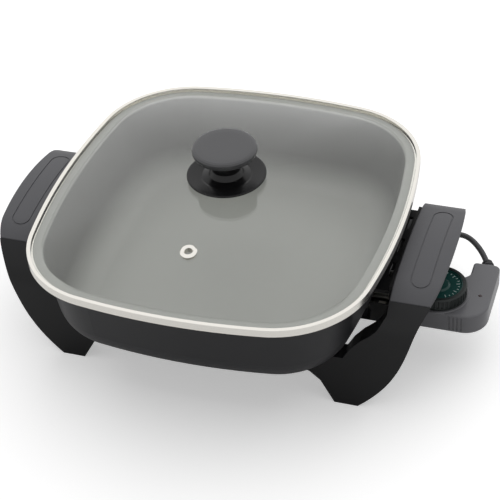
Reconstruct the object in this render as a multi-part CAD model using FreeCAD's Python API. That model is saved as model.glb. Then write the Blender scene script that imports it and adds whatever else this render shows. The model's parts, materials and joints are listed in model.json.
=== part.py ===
import FreeCAD, Part
import math
import os
from FreeCAD import Vector

os.makedirs("parts", exist_ok=True)

# Frame: millimetres, +Z up, z = 0 on the table, the front of the pan towards -Y.
# Shapes are drawn about the pan's centre and moved by SHIFT_X when they are written,
# so that the origin is under the middle of the whole object, plug-in control included.

# Lid outline: four long side arcs joined by four tangent corner arcs
LID_HALF_X = 152.0
LID_HALF_Y = 159.5
SIDE_R = 574.0
END_R = 545.0
CORNER_R = 81.0
FLANGE_Z = 127.0

# Pan, measured inwards from the lid outline and down from the flange plane
LIP_INSET = 1.5
LIP_T = 3.5
LIP_EDGE_R = 2.0
WALL_SLOPE = math.radians(8.5)
PAN_BOTTOM = FLANGE_Z - 74.5
FLOOR_T = 4.0
FILLET_INSET = 46.8
OUTER_FILLET_R = 28.0
INNER_FILLET_R = 26.0

# Heating element and its terminals
ELEMENT_R = 3.2
ELEMENT_Z = FLANGE_Z - 75.5
ELEMENT_X = 78.0
ELEMENT_Y = 70.0
ELEMENT_BEND_R = 25.0
TERMINAL_BEND_R = 12.0
TERMINAL_X = 134.0
PROBE_Y = -4.0
PIN_SPREAD = 13.0
PIN_R = 2.2
PIN_END_X = 162.0
PIN_FIT = 0.06
BUSHING_R = 5.0
BUSHING_LEN = 6.0
RIB_HALF = 6.0
RIB_LOW = 5.0
BLOCK_X = (92.0, 126.0)
BLOCK_HALF_Y = 21.0
BLOCK_BOTTOM = FLANGE_Z - 82.5
STEM_R = 3.2
STEM_FIT = 0.08
STEM_TIP_X = 96.0

# Sheet guard round the terminals
GUARD_T = 1.2
GUARD_X = (98.0, 150.0)
CHEEK_X = 129.0
GUARD_HALF_Y = 22.5
GUARD_TOP = FLANGE_Z - 64.0

# Side frames: an arch in side view, a leaning outline in front view
ARCH_TOP = FLANGE_Z - 14.4
CROWN_R = 320.0
FRONT_SHOULDER_R = 46.0
REAR_SHOULDER_R = 33.0
LEG_LEAN = math.radians(4.0)
LEG_FOOT_Y = 86.95
FRAME_DEPTH = 18.0
FRAME_WALL = 4.5
FRAME_SIDE = 4.0
FRAME_SETBACK = 0.5
GRIP_T = 2.2
GRIP_GAP = 0.1
GRIP_HALF_Y = 63.0
GRIP_END_GAP = 0.25
GRIP_EDGE_R = 1.0
GRIP_INNER_X = 154.5
FOOT_IN_X = 113.0
FOOT_OUT_X = 133.0
FOOT_T = 4.0
ARM_TOP = PAN_BOTTOM - 4.0
ARM_END_X = 84.0
GROOVE_W = 1.2
GROOVE_DEPTH = 0.6
GROOVE_X = 175.5
GROOVE_HALF_X = 8.0
GROOVE_HALF_Y = 50.0
COVER_T = 2.5
COVER_HALF_Y = 34.0
COVER_FIT = 0.15

# Screws: head radius, head height, shank radius
LEG_SCREW = (4.2, 2.4, 2.0)
SIDE_SCREW = (3.4, 2.0, 1.6)
SMALL_SCREW = (2.6, 1.6, 1.3)
KNOB_SCREW = (4.5, 2.6, 2.0)
SLOT_HALF_W = 0.45
LEG_BOSS_X = 93.0
LEG_BOSS_Y = 73.0
LEG_BOSS_R = 6.0
LEG_SCREW_LEN = 8.0
GUARD_BOLT_X = 109.0
GUARD_BOLT_Y = 6.5
GUARD_BOLT_LEN = 4.0
GRIP_SCREW_X = 175.5
GRIP_SCREW_Y = 20.0
GRIP_SCREW_TOP = ARCH_TOP - GRIP_SCREW_Y**2 / (2 * CROWN_R)
GRIP_SCREW_SEAT = GRIP_SCREW_TOP - FRAME_WALL + 0.3
GRIP_SCREW_LEN = 3.2
PROBE_SCREWS = ((214.0, -12.0), (214.0, 33.0))
PROBE_SCREW_LEN = 8.0
PROBE_BOSS_R = 3.0

# Wall brackets between the pan and the side frames
BRACKET_HALF_Y = 54.0
BRACKET_TOP = FLANGE_Z - 22.0
BRACKET_LOW = FLANGE_Z - 33.0
BRACKET_T = 2.5
BRACKET_PLATE_Z = FLANGE_Z - 26.0
BRACKET_PAD_HALF = 20.0
BRACKET_SCREW_Y = 42.0
BRACKET_SCREW_Z = BRACKET_LOW + 3.5

# Lid
GLASS_T = 3.2
GLASS_LOW = 1.2
GLASS_INSET = 1.2
GLASS_FLAT_INSET = 12.0
RIM_T = 1.0
RIM_FIT = 0.1
RIM_SKIRT = 1.6
RIM_UNDER = 5.0
RIM_OVER = 3.4
DOME_RISE = 22.1
DOME_POWER = 2.2
DOME_SCALES = (1.0, 0.96, 0.88, 0.74, 0.56, 0.38, 0.17)
GLASS_TOP = FLANGE_Z + GLASS_LOW + GLASS_T + DOME_RISE * (1 - DOME_SCALES[-1]**DOME_POWER)
KNOB_HOLE_R = 2.4
WASHER_T = 1.0
WASHER_R = 18.0
SEAL_R = 23.0
SEAL_T = 2.5
KNOB_NECK_TOP = GLASS_TOP + WASHER_T + 15.0
VENT_Y = -93.0
VENT_X = -2.0
VENT_HOLE_R = 4.8
VENT_R = 7.0
VENT_BORE_R = 3.2

# Plug-in control
PROBE_TOP = FLANGE_Z - 62.0
PROBE_SEAM = FLANGE_Z - 70.0
PROBE_LOW = FLANGE_Z - 81.5
SHELL_T = 2.2
NOSE_X = 146.0
NOSE_HALF_Y = 19.0
DIAL_X = 183.0
DIAL_TOP = FLANGE_Z - 50.0
DIAL_R = 23.0
DIAL_SHAFT_R = 3.0
DIAL_FIT = 0.08
DIAL_NOTCHES = 40
LENS_AT = (216.5, 1.5)
LENS_R = 1.6
NECK_R = 3.6
SLEEVE_R = 3.0
SLEEVE_END_X = 168.0
REAR_ARM_Y = 44.0
RELIEF_X = 216.0
RELIEF_Z = FLANGE_Z - 71.0
RELIEF_TILT = math.radians(24.0)
RELIEF_KNEE_Y = REAR_ARM_Y + 2.5
RELIEF_LEN = 10.0
RELIEF_END = (
    RELIEF_X - RELIEF_LEN * math.sin(RELIEF_TILT),
    RELIEF_KNEE_Y + RELIEF_LEN * math.cos(RELIEF_TILT),
    RELIEF_Z,
)

# Cord, coil and plug
CORD_R = 2.5
CORD_Z = CORD_R
COIL_X = 30.0
COIL_Y = 222.0
COIL_R_OUT = 35.2
COIL_PITCH = 5.6
COIL_TURNS = 4.0
TIE_T = 0.8
TIE_GAP = 0.3
TIE_W = 6.0
COIL_Z = TIE_T + TIE_GAP + CORD_R
COIL_START_Y = COIL_Y - COIL_R_OUT
COIL_LEAD_X = COIL_X + 14.0
PLUG_X = -2.0
PLUG_LEN = 30.0
PLUG_HALF_W = 12.0
PLUG_CORD_X = PLUG_X + 6.0
BLADE_LEN = 17.0
BLADE_GAP = 12.7

# The cord's free route, chosen by hand from the control's collar to the coil
CORD_ROUTE = [
    RELIEF_END,
    (RELIEF_END[0] - 18.0 * math.sin(RELIEF_TILT), RELIEF_END[1] + 18.0 * math.cos(RELIEF_TILT), RELIEF_Z),
    (184.0, 95.0, 53.5),
    (160.0, 112.0, 30.0),
    (138.0, 130.0, 8.0),
    (110.0, 150.0, CORD_Z),
    (80.0, 175.0, CORD_Z),
    (60.0, COIL_START_Y, COIL_Z),
    (COIL_LEAD_X, COIL_START_Y, COIL_Z),
]

# Middle of the object without the cord: the right end is the control, the left the grip
LEFT_END = -194.686
RIGHT_END = 226.0
SHIFT_X = -(LEFT_END + RIGHT_END) / 2

BIG = 400.0


def vec(point):
    return Vector(point[0], point[1], point[2])


def box(x0, x1, y0, y1, z0, z1):
    return Part.makeBox(x1 - x0, y1 - y0, z1 - z0, Vector(x0, y0, z0))


def rod(radius, start, end):
    start, end = vec(start), vec(end)
    return Part.makeCylinder(radius, (end - start).Length, start, end - start)


def tube(outer, inner, start, end):
    return rod(outer, start, end).cut(rod(inner, start, end))


def mirror_x(shape):
    return shape.mirror(Vector(0, 0, 0), Vector(1, 0, 0))


def join(shapes):
    return shapes[0].fuse(shapes[1:]).removeSplitter()


# Lid outline


def outline_frame():
    side = Vector(LID_HALF_X - SIDE_R, 0, 0)
    end = Vector(0, LID_HALF_Y - END_R, 0)
    to_side = SIDE_R - CORNER_R
    to_end = END_R - CORNER_R
    line = end - side
    span = line.Length
    along = (to_side**2 - to_end**2 + span**2) / (2 * span)
    across = math.sqrt(to_side**2 - along**2)
    line.normalize()
    corner = side + line * along + Vector(-line.y, line.x, 0) * across
    first = math.atan2(corner.y - side.y, corner.x - side.x)
    second = math.atan2(corner.y - end.y, corner.x - end.x)
    return side, end, corner, first, second


def outline_arcs():
    side, end, corner, first, second = outline_frame()
    cx, cy = corner.x, corner.y
    turn = math.pi
    return [
        (side, SIDE_R, -first, first),
        (corner, CORNER_R, first, second),
        (end, END_R, second, turn - second),
        (Vector(-cx, cy, 0), CORNER_R, turn - second, turn - first),
        (-side, SIDE_R, turn - first, turn + first),
        (Vector(-cx, -cy, 0), CORNER_R, turn + first, turn + second),
        (-end, END_R, turn + second, 2 * turn - second),
        (Vector(cx, -cy, 0), CORNER_R, 2 * turn - second, 2 * turn - first),
    ]


def outline_wire(inset, z, scale=1.0):
    edges = []
    for centre, radius, start, stop in outline_arcs():
        points = []
        for angle in (start, (start + stop) / 2, stop):
            reach = Vector(math.cos(angle), math.sin(angle), 0) * (radius - inset)
            flat = (centre + reach) * scale
            points.append(Vector(flat.x, flat.y, z))
        edges.append(Part.Arc(*points).toShape())
    return Part.Wire(edges)


def outline_prism(inset, low, high):
    face = Part.Face(outline_wire(inset, low))
    return face.extrude(Vector(0, 0, high - low))


def outline_ring(profile):
    """Carry a profile of (inset, z) points round the outline; a third item is an arc's middle."""
    solids = []
    for centre, radius, start, stop in outline_arcs():
        out = Vector(math.cos(start), math.sin(start), 0)

        def place(inset, z):
            return centre + out * (radius - inset) + Vector(0, 0, z)

        edges = []
        before = place(*profile[-1][:2])
        for step in profile:
            point = place(*step[:2])
            if len(step) == 3:
                edges.append(Part.Arc(before, place(*step[2]), point).toShape())
            else:
                edges.append(Part.LineSegment(before, point).toShape())
            before = point
        face = Part.Face(Part.Wire(edges))
        turn = math.degrees(stop - start)
        solids.append(face.revolve(centre, Vector(0, 0, 1), turn))
    return join(solids)


# Pan


def wall_inset(fillet_r, fillet_z, z):
    """Inset of a wall's face at height z, for the wall tangent to its floor fillet."""
    tangent = FILLET_INSET - fillet_r * math.cos(WALL_SLOPE)
    tangent_z = fillet_z - fillet_r * math.sin(WALL_SLOPE)
    return tangent - (z - tangent_z) * math.tan(WALL_SLOPE)


def fillet_point(fillet_r, fillet_z, drop):
    return (FILLET_INSET - fillet_r * math.cos(drop), fillet_z - fillet_r * math.sin(drop))


OUTER_FILLET_Z = PAN_BOTTOM + OUTER_FILLET_R
INNER_FILLET_Z = PAN_BOTTOM + FLOOR_T + INNER_FILLET_R
MID_DROP = (WALL_SLOPE + math.pi / 2) / 2
LIP_LOW = FLANGE_Z - LIP_T


def pan_shell():
    outer_top = (wall_inset(OUTER_FILLET_R, OUTER_FILLET_Z, LIP_LOW - 1.0), LIP_LOW - 1.0)
    reach = LIP_EDGE_R * math.tan((math.pi / 2 - WALL_SLOPE) / 2)
    edge = wall_inset(INNER_FILLET_R, INNER_FILLET_Z, FLANGE_Z)
    middle = edge - reach
    crown = (math.pi / 2 - WALL_SLOPE) / 2
    inner_top = (edge + reach * math.sin(WALL_SLOPE), FLANGE_Z - reach * math.cos(WALL_SLOPE))
    rounded = (middle + LIP_EDGE_R * math.sin(crown), FLANGE_Z - LIP_EDGE_R * (1 - math.cos(crown)))
    ring = outline_ring([
        (middle, FLANGE_Z, rounded),
        (LIP_INSET, FLANGE_Z),
        (LIP_INSET, LIP_LOW),
        outer_top,
        fillet_point(OUTER_FILLET_R, OUTER_FILLET_Z, WALL_SLOPE),
        (FILLET_INSET, PAN_BOTTOM, fillet_point(OUTER_FILLET_R, OUTER_FILLET_Z, MID_DROP)),
        (FILLET_INSET, PAN_BOTTOM + FLOOR_T),
        fillet_point(INNER_FILLET_R, INNER_FILLET_Z, WALL_SLOPE)
        + (fillet_point(INNER_FILLET_R, INNER_FILLET_Z, MID_DROP),),
        inner_top,
    ])
    floor = outline_prism(FILLET_INSET, PAN_BOTTOM, PAN_BOTTOM + FLOOR_T)
    return ring.fuse(floor).removeSplitter()


def pan_envelope():
    outer_top = (wall_inset(OUTER_FILLET_R, OUTER_FILLET_Z, FLANGE_Z), FLANGE_Z)
    ring = outline_ring([
        outer_top,
        fillet_point(OUTER_FILLET_R, OUTER_FILLET_Z, WALL_SLOPE),
        (FILLET_INSET, PAN_BOTTOM, fillet_point(OUTER_FILLET_R, OUTER_FILLET_Z, MID_DROP)),
        (FILLET_INSET, FLANGE_Z),
    ])
    return ring.fuse(outline_prism(FILLET_INSET, PAN_BOTTOM, FLANGE_Z)).removeSplitter()


def element_path(z):
    front = PROBE_Y - PIN_SPREAD
    rear = PROBE_Y + PIN_SPREAD
    corners = [
        (TERMINAL_X, front, 0),
        (ELEMENT_X, front, TERMINAL_BEND_R),
        (ELEMENT_X, -ELEMENT_Y, ELEMENT_BEND_R),
        (-ELEMENT_X, -ELEMENT_Y, ELEMENT_BEND_R),
        (-ELEMENT_X, ELEMENT_Y, ELEMENT_BEND_R),
        (ELEMENT_X, ELEMENT_Y, ELEMENT_BEND_R),
        (ELEMENT_X, rear, TERMINAL_BEND_R),
        (TERMINAL_X, rear, 0),
    ]
    return rounded_path([(Vector(x, y, z), r) for x, y, r in corners])


def rounded_path(corners, closed=False):
    """Straight edges through the corners, each rounded by its own tangent arc."""
    count = len(corners)
    edges = []
    cuts = []
    for index in range(count):
        point, radius = corners[index]
        if radius == 0 or (not closed and index in (0, count - 1)):
            cuts.append((point, point, None))
            continue
        back = (corners[index - 1][0] - point).normalize()
        ahead = (corners[(index + 1) % count][0] - point).normalize()
        half = back.getAngle(ahead) / 2
        reach = radius / math.tan(half)
        middle = (back + ahead).normalize()
        centre = point + middle * (radius / math.sin(half))
        cuts.append((point + back * reach, point + ahead * reach, centre - middle * radius))
    steps = range(count if closed else count - 1)
    for index in steps:
        start, stop, crown = cuts[index]
        if crown is not None:
            edges.append(Part.Arc(start, crown, stop).toShape())
        following = cuts[(index + 1) % count][0]
        if (following - stop).Length > 1e-6:
            edges.append(Part.LineSegment(stop, following).toShape())
    return Part.Wire(edges)


def rounded_prism(corners, low, high):
    placed = [(Vector(x, y, low), r) for x, y, r in corners]
    face = Part.Face(rounded_path(placed, closed=True))
    return face.extrude(Vector(0, 0, high - low))


def sweep(profile, path):
    return path.makePipeShell([profile], True, False)


def heating_element():
    path = element_path(ELEMENT_Z)
    circle = Part.makeCircle(ELEMENT_R, Vector(TERMINAL_X, PROBE_Y - PIN_SPREAD, ELEMENT_Z), Vector(1, 0, 0))
    return sweep(Part.Wire([circle]), path)


def element_rib():
    """The cast rib over the element, the same loop with a flat section."""
    low = ELEMENT_Z - RIB_LOW
    high = PAN_BOTTOM + FLOOR_T / 2
    y = PROBE_Y - PIN_SPREAD
    section = Part.makePolygon([
        Vector(TERMINAL_X, y - RIB_HALF, high),
        Vector(TERMINAL_X, y - RIB_HALF + 2.0, low),
        Vector(TERMINAL_X, y + RIB_HALF - 2.0, low),
        Vector(TERMINAL_X, y + RIB_HALF, high),
        Vector(TERMINAL_X, y - RIB_HALF, high),
    ])
    rib = sweep(section, element_path((low + high) / 2))
    return rib.cut(box(BLOCK_X[1], BIG, -BIG, BIG, -BIG, BIG))


def pan(element):
    x, y = LEG_BOSS_X, LEG_BOSS_Y
    shell = pan_shell()
    block = box(BLOCK_X[0], BLOCK_X[1], PROBE_Y - BLOCK_HALF_Y, PROBE_Y + BLOCK_HALF_Y,
                BLOCK_BOTTOM, PAN_BOTTOM + FLOOR_T / 2)
    bosses = []
    for sx in (-1, 1):
        for sy in (-1, 1):
            bosses.append(rod(LEG_BOSS_R, (sx * x, sy * y, ARM_TOP), (sx * x, sy * y, PAN_BOTTOM + 1.0)))
    body = shell.fuse([element_rib(), block] + bosses).removeSplitter()
    holes = [element]
    for sx in (-1, 1):
        for sy in (-1, 1):
            top = ARM_TOP - FRAME_SIDE + LEG_SCREW_LEN
            holes.append(rod(LEG_SCREW[2], (sx * x, sy * y, ARM_TOP - 1.0), (sx * x, sy * y, top)))
    holes.append(rod(STEM_R + STEM_FIT, (STEM_TIP_X - 1.0, PROBE_Y, ELEMENT_Z), (BIG, PROBE_Y, ELEMENT_Z)))
    for sy in (-1, 1):
        spot = (GUARD_BOLT_X, PROBE_Y + sy * GUARD_BOLT_Y)
        holes.append(rod(SMALL_SCREW[2], spot + (BLOCK_BOTTOM - 1.0,), spot + (BLOCK_BOTTOM + GUARD_BOLT_LEN,)))
    return body.cut(holes)


def probe_guard():
    x0, x1 = GUARD_X
    y0, y1 = PROBE_Y - GUARD_HALF_Y, PROBE_Y + GUARD_HALF_Y
    low = BLOCK_BOTTOM - GUARD_T
    plate = box(x0, x1, y0, y1, low, BLOCK_BOTTOM)
    front = box(CHEEK_X, x1, y0, y0 + GUARD_T, low, GUARD_TOP)
    rear = box(CHEEK_X, x1, y1 - GUARD_T, y1, low, GUARD_TOP)
    guard = join([plate, front, rear])
    for sy in (-1, 1):
        spot = (GUARD_BOLT_X, PROBE_Y + sy * GUARD_BOLT_Y)
        guard = guard.cut(rod(SMALL_SCREW[2] + 0.2, spot + (low - 1,), spot + (low + 3,)))
    return guard


def screw(kind, length, head_at, direction):
    """A slotted screw whose head sits on head_at and whose shank runs along direction."""
    head_r, head_h, shank_r = kind
    body = turned([
        (0, -head_h),
        (head_r * 0.7, -head_h),
        (head_r, -head_h * 0.5),
        (head_r, 0),
        (shank_r, 0),
        (shank_r, length),
        (0, length),
    ])
    body = body.cut(box(-head_r, head_r, -SLOT_HALF_W, SLOT_HALF_W, -head_h - 1, -head_h * 0.55))
    turn = FreeCAD.Rotation(Vector(0, 0, 1), vec(direction))
    body.Placement = FreeCAD.Placement(vec(head_at), turn)
    return body


# Side frames and grips


def shoulder_centre(radius):
    """Centre (y, z) of the arc that touches both the crown and the leaning leg line."""
    crown_z = ARCH_TOP - CROWN_R
    lean = math.tan(LEG_LEAN)
    flat = LEG_FOOT_Y - radius / math.cos(LEG_LEAN)
    square = 1 + lean**2
    half = flat * lean + crown_z
    rest = flat**2 + crown_z**2 - (CROWN_R - radius) ** 2
    z = (half + math.sqrt(half**2 - square * rest)) / square
    return flat - lean * z, z


def arch_face(depth):
    """Filled side view of the arch, set in by depth; its rear shoulder is the tighter one."""
    crown_z = ARCH_TOP - CROWN_R
    sides = []
    for sign, radius in ((-1, FRONT_SHOULDER_R), (1, REAR_SHOULDER_R)):
        y, z = shoulder_centre(radius)
        top_angle = math.atan2(z - crown_z, y)
        points = []
        for angle in (LEG_LEAN, (LEG_LEAN + top_angle) / 2, top_angle):
            reach = radius - depth
            points.append(Vector(0, sign * (y + reach * math.cos(angle)), z + reach * math.sin(angle)))
        low = Vector(0, sign * (LEG_FOOT_Y - depth / math.cos(LEG_LEAN)), 0)
        sides.append([low] + points)
    front, rear = sides
    crown = Vector(0, 0, ARCH_TOP - depth)
    edges = [
        Part.LineSegment(front[0], front[1]),
        Part.Arc(front[1], front[2], front[3]),
        Part.Arc(front[3], crown, rear[3]),
        Part.Arc(rear[3], rear[2], rear[1]),
        Part.LineSegment(rear[1], rear[0]),
        Part.LineSegment(rear[0], front[0]),
    ]
    return Part.Face(Part.Wire([edge.toShape() for edge in edges]))


def arch_solid(depth):
    return arch_face(depth).extrude(Vector(BIG, 0, 0))


def front_solid(outer_in, inner_in, low):
    """Front view of a side frame, carried through in Y; outer_in and inner_in thin it."""
    lean = [
        (196.4, 115.0),
        (194.5, 111.0),
        (189.0, 102.0),
        (181.0, 87.0),
        (174.5, 67.0),
        (167.5, 47.0),
        (157.0, 27.0),
        (141.5, 8.0),
        (FOOT_OUT_X, 0.0),
    ]
    outer = Part.BSplineCurve()
    outer.interpolate([Vector(x - outer_in, 0, z) for x, z in lean])
    inner_top = [
        (ARM_END_X - 0.5 + inner_in, ARM_TOP - inner_in),
        (120.0 + inner_in, ARM_TOP - inner_in),
        (126.0 + inner_in, 59.0),
        (134.0 + inner_in, 68.5),
        (142.8 + inner_in, 75.5),
        (148.0 + inner_in, 81.0),
        (GRIP_INNER_X + inner_in, 93.0),
        (GRIP_INNER_X + inner_in, 115.0),
    ]
    inner_low = [
        (FOOT_IN_X + inner_in, 0.0),
        (101.0 + inner_in, 21.0 + inner_in / 2),
        (92.0, 28.5 + inner_in),
        (ARM_END_X - 0.5 + inner_in, 32.0 + inner_in),
    ]
    points = [Vector(x, 0, z) for x, z in inner_low + inner_top]
    edges = [Part.LineSegment(a, b).toShape() for a, b in zip(points[:-1], points[1:])]
    edges.append(Part.LineSegment(points[-1], Vector(lean[0][0] - outer_in, 0, lean[0][1])).toShape())
    edges.append(outer.toShape())
    edges.append(Part.LineSegment(Vector(FOOT_OUT_X - outer_in, 0, 0), points[0]).toShape())
    face = Part.Face(Part.Wire(edges))
    solid = face.extrude(Vector(0, BIG, 0))
    solid.translate(Vector(0, -BIG / 2, 0))
    return solid.common(box(-BIG, BIG, -BIG, BIG, low, BIG))


def band(outer, inner):
    return arch_solid(outer).cut(arch_solid(inner))


def side_frame():
    view = front_solid(0, 0, 0)
    body = band(FRAME_SETBACK, FRAME_DEPTH).common(view)
    hollow = band(FRAME_WALL, FRAME_DEPTH + 10).common(front_solid(FRAME_SIDE, FRAME_SIDE, FOOT_T))
    seat = band(-2.0, GRIP_T + GRIP_GAP).common(
        box(0, BIG, -GRIP_HALF_Y - GRIP_END_GAP, GRIP_HALF_Y + GRIP_END_GAP, 60, BIG))
    body = body.cut([hollow, seat])
    for sy in (-1, 1):
        spot = (LEG_BOSS_X, sy * LEG_BOSS_Y)
        body = body.cut(rod(LEG_SCREW[2] + 0.2, spot + (ARM_TOP - 10,), spot + (ARM_TOP + 1,)))
        bolt = (GRIP_INNER_X - 5, sy * BRACKET_SCREW_Y, BRACKET_SCREW_Z)
        body = body.cut(rod(SIDE_SCREW[2], bolt, (GRIP_INNER_X + 8, bolt[1], bolt[2])))
        spot = (GRIP_SCREW_X, sy * GRIP_SCREW_Y)
        body = body.cut(rod(SMALL_SCREW[2] + 0.2, spot + (GRIP_SCREW_SEAT - 8,), spot + (ARCH_TOP,)))
        body = body.cut(rod(SMALL_SCREW[0] + 0.4, spot + (GRIP_SCREW_SEAT - 8,), spot + (GRIP_SCREW_SEAT,)))
    return body


def racetrack(half_x, half_y, low, high):
    corners = [
        (GROOVE_X - half_x, -half_y, half_x * 0.98),
        (GROOVE_X + half_x, -half_y, half_x * 0.98),
        (GROOVE_X + half_x, half_y, half_x * 0.98),
        (GROOVE_X - half_x, half_y, half_x * 0.98),
    ]
    return rounded_prism(corners, low, high)


def grip():
    view = front_solid(0, 0, 0)
    body = band(0, GRIP_T).common(view)
    body = body.common(box(0, BIG, -GRIP_HALF_Y, GRIP_HALF_Y, 60, BIG))
    top_edges = []
    for edge in body.Edges:
        middle = edge.valueAt((edge.FirstParameter + edge.LastParameter) / 2)
        drop = arch_distance(middle)
        if drop < 0.05:
            top_edges.append(edge)
    body = body.makeFillet(GRIP_EDGE_R, top_edges)
    low, high = ARCH_TOP - 30, ARCH_TOP + 5
    ring = racetrack(GROOVE_HALF_X + GROOVE_W / 2, GROOVE_HALF_Y + GROOVE_W / 2, low, high)
    ring = ring.cut(racetrack(GROOVE_HALF_X - GROOVE_W / 2, GROOVE_HALF_Y - GROOVE_W / 2, low - 1, high + 1))
    body = body.cut(ring.cut(arch_solid(GROOVE_DEPTH)))
    for sy in (-1, 1):
        spot = (GRIP_SCREW_X, sy * GRIP_SCREW_Y)
        top = GRIP_SCREW_SEAT + GRIP_SCREW_LEN
        body = body.cut(rod(SMALL_SCREW[2], spot + (GRIP_SCREW_SEAT,), spot + (top,)))
    return body


def arch_distance(point):
    """How far a point lies under the arch's outer face."""
    radius = FRONT_SHOULDER_R if point.y < 0 else REAR_SHOULDER_R
    y, z = shoulder_centre(radius)
    crown_z = ARCH_TOP - CROWN_R
    out, up = abs(point.y), point.z
    if out * (z - crown_z) <= y * (up - crown_z):
        return CROWN_R - math.hypot(out, up - crown_z)
    return radius - math.hypot(out - y, up - z)


def grip_cover():
    """Plate that closes the underside of the grip's channel."""
    plate = front_solid(FRAME_SIDE + COVER_FIT, FRAME_SIDE + COVER_FIT, 0)
    plate = plate.common(band(FRAME_DEPTH - COVER_T, FRAME_DEPTH))
    return plate.common(box(0, BIG, -COVER_HALF_Y, COVER_HALF_Y, 0, BIG))


def wall_bracket(envelope):
    """Plate from the pan's wall to the side frame, with two vent slots and two flanges."""
    low = BRACKET_PLATE_Z
    plate = box(125, GRIP_INNER_X, -BRACKET_HALF_Y, BRACKET_HALF_Y, low, low + BRACKET_T)
    flange = box(GRIP_INNER_X - BRACKET_T, GRIP_INNER_X, -BRACKET_HALF_Y, BRACKET_HALF_Y,
                 BRACKET_LOW, BRACKET_TOP + 3)
    pad = box(125, 142.5, -BRACKET_PAD_HALF, BRACKET_PAD_HALF, BRACKET_LOW - 3, low + BRACKET_T)
    body = join([plate, flange, pad])
    for y0, y1 in ((26, 44), (-4, 14), (-36, -18)):
        body = body.cut(box(146.5, 149.5, y0, y1, low - 1, low + BRACKET_T + 1))
    for sy in (-1, 1):
        bolt = (GRIP_INNER_X - 5, sy * BRACKET_SCREW_Y, BRACKET_SCREW_Z)
        body = body.cut(rod(SIDE_SCREW[2] + 0.2, bolt, (GRIP_INNER_X + 5, bolt[1], bolt[2])))
    return body.cut(envelope)


# Lid


def dome_height(scale):
    return GLASS_LOW + GLASS_T + DOME_RISE * (1 - scale**DOME_POWER)


def dome_solid(drop):
    wires = []
    for scale in DOME_SCALES:
        wires.append(outline_wire(GLASS_FLAT_INSET, FLANGE_Z + dome_height(scale) - drop, scale))
    return Part.makeLoft(wires, True, False)


def vent_axis():
    """Point on the glass under the vent, and the glass's outward normal there."""
    reach = LID_HALF_Y - GLASS_FLAT_INSET
    scale = abs(VENT_Y) / reach
    slope = DOME_RISE * DOME_POWER * scale ** (DOME_POWER - 1) / reach
    point = Vector(VENT_X, VENT_Y, FLANGE_Z + dome_height(scale))
    return point, Vector(0, -slope, 1).normalize()


def lid_glass():
    low = FLANGE_Z + GLASS_LOW
    rim = outline_prism(GLASS_INSET, low, low + GLASS_T)
    glass = rim.fuse(dome_solid(0)).cut(dome_solid(GLASS_T))
    glass = glass.cut(rod(KNOB_HOLE_R, (0, 0, FLANGE_Z), (0, 0, FLANGE_Z + 60)))
    point, normal = vent_axis()
    return glass.cut(rod(VENT_HOLE_R, point - normal * 8, point + normal * 8))


def lid_rim():
    """Folded band round the glass: a skirt outside the pan's lip, a lip under the glass, one over it."""
    z = FLANGE_Z
    glass_low = z + GLASS_LOW - RIM_FIT
    glass_high = z + GLASS_LOW + GLASS_T + RIM_FIT
    return outline_ring([
        (RIM_T, z - RIM_SKIRT),
        (RIM_T, z),
        (RIM_UNDER, z),
        (RIM_UNDER, glass_low),
        (RIM_T, glass_low),
        (RIM_T, glass_high),
        (RIM_OVER, glass_high),
        (RIM_OVER, glass_high + 0.4),
        (RIM_OVER - 0.6, glass_high + 0.9),
        (0.9, glass_high + 0.9),
        (0.0, glass_high, (0.26, glass_high + 0.64)),
        (0.0, z - RIM_SKIRT),
    ])


def turned(profile, centre=(0, 0)):
    """A solid turned about a vertical axis from (radius, z) points."""
    points = [Vector(r, 0, z) for r, z in profile]
    points.append(points[0])
    solid = Part.Face(Part.makePolygon(points)).revolve(Vector(0, 0, 0), Vector(0, 0, 1), 360)
    solid.translate(Vector(centre[0], centre[1], 0))
    return solid


def knob_washer():
    return tube(WASHER_R, KNOB_HOLE_R, (0, 0, GLASS_TOP), (0, 0, GLASS_TOP + WASHER_T))


def knob_seal():
    top = GLASS_TOP - GLASS_T
    return tube(SEAL_R, KNOB_HOLE_R, (0, 0, top - SEAL_T), (0, 0, top))


def knob_base():
    z = GLASS_TOP + WASHER_T
    return turned([
        (KNOB_HOLE_R, z),
        (31.0, z),
        (33.4, z + 1.6),
        (33.4, z + 2.4),
        (32.4, z + 2.8),
        (22.0, z + 1.9),
        (20.6, z + 1.6),
        (15.0, z + 3.6),
        (12.2, z + 8.0),
        (11.6, KNOB_NECK_TOP),
        (KNOB_HOLE_R, KNOB_NECK_TOP),
    ])


def knob_cap():
    low = KNOB_NECK_TOP
    top = FLANGE_Z + 57.5
    body = turned([
        (0, low),
        (11.6, low),
        (12.4, low + 2.0),
        (17.0, low + 5.0),
        (24.0, top - 8.4),
        (26.4, top - 6.6),
        (27.2, top - 4.4),
        (27.2, top - 2.2),
        (26.2, top - 0.8),
        (24.4, top - 0.2),
        (20.0, top),
        (0, top),
    ])
    return body.cut(rod(KNOB_SCREW[2], (0, 0, low - 1), (0, 0, low + 9)))


def knob_screw():
    head_at = GLASS_TOP - GLASS_T - SEAL_T
    return screw(KNOB_SCREW, KNOB_NECK_TOP + 8.0 - head_at, (0, 0, head_at), (0, 0, 1))


def vent_eyelet(glass):
    profile = [
        (VENT_BORE_R, 0.9),
        (VENT_BORE_R + 0.8, 1.6),
        (VENT_R - 0.8, 1.3),
        (VENT_R, 0.5),
        (VENT_R, -0.2),
        (VENT_HOLE_R - 0.05, -0.2),
        (VENT_HOLE_R - 0.05, -GLASS_T - 0.1),
        (VENT_R - 0.8, -GLASS_T - 0.1),
        (VENT_R - 0.8, -GLASS_T - 0.9),
        (VENT_BORE_R, -GLASS_T - 0.9),
    ]
    body = turned(profile)
    point, normal = vent_axis()
    body.Placement = FreeCAD.Placement(point, FreeCAD.Rotation(Vector(0, 0, 1), normal))
    return body.cut(glass)


# Plug-in control


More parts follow.
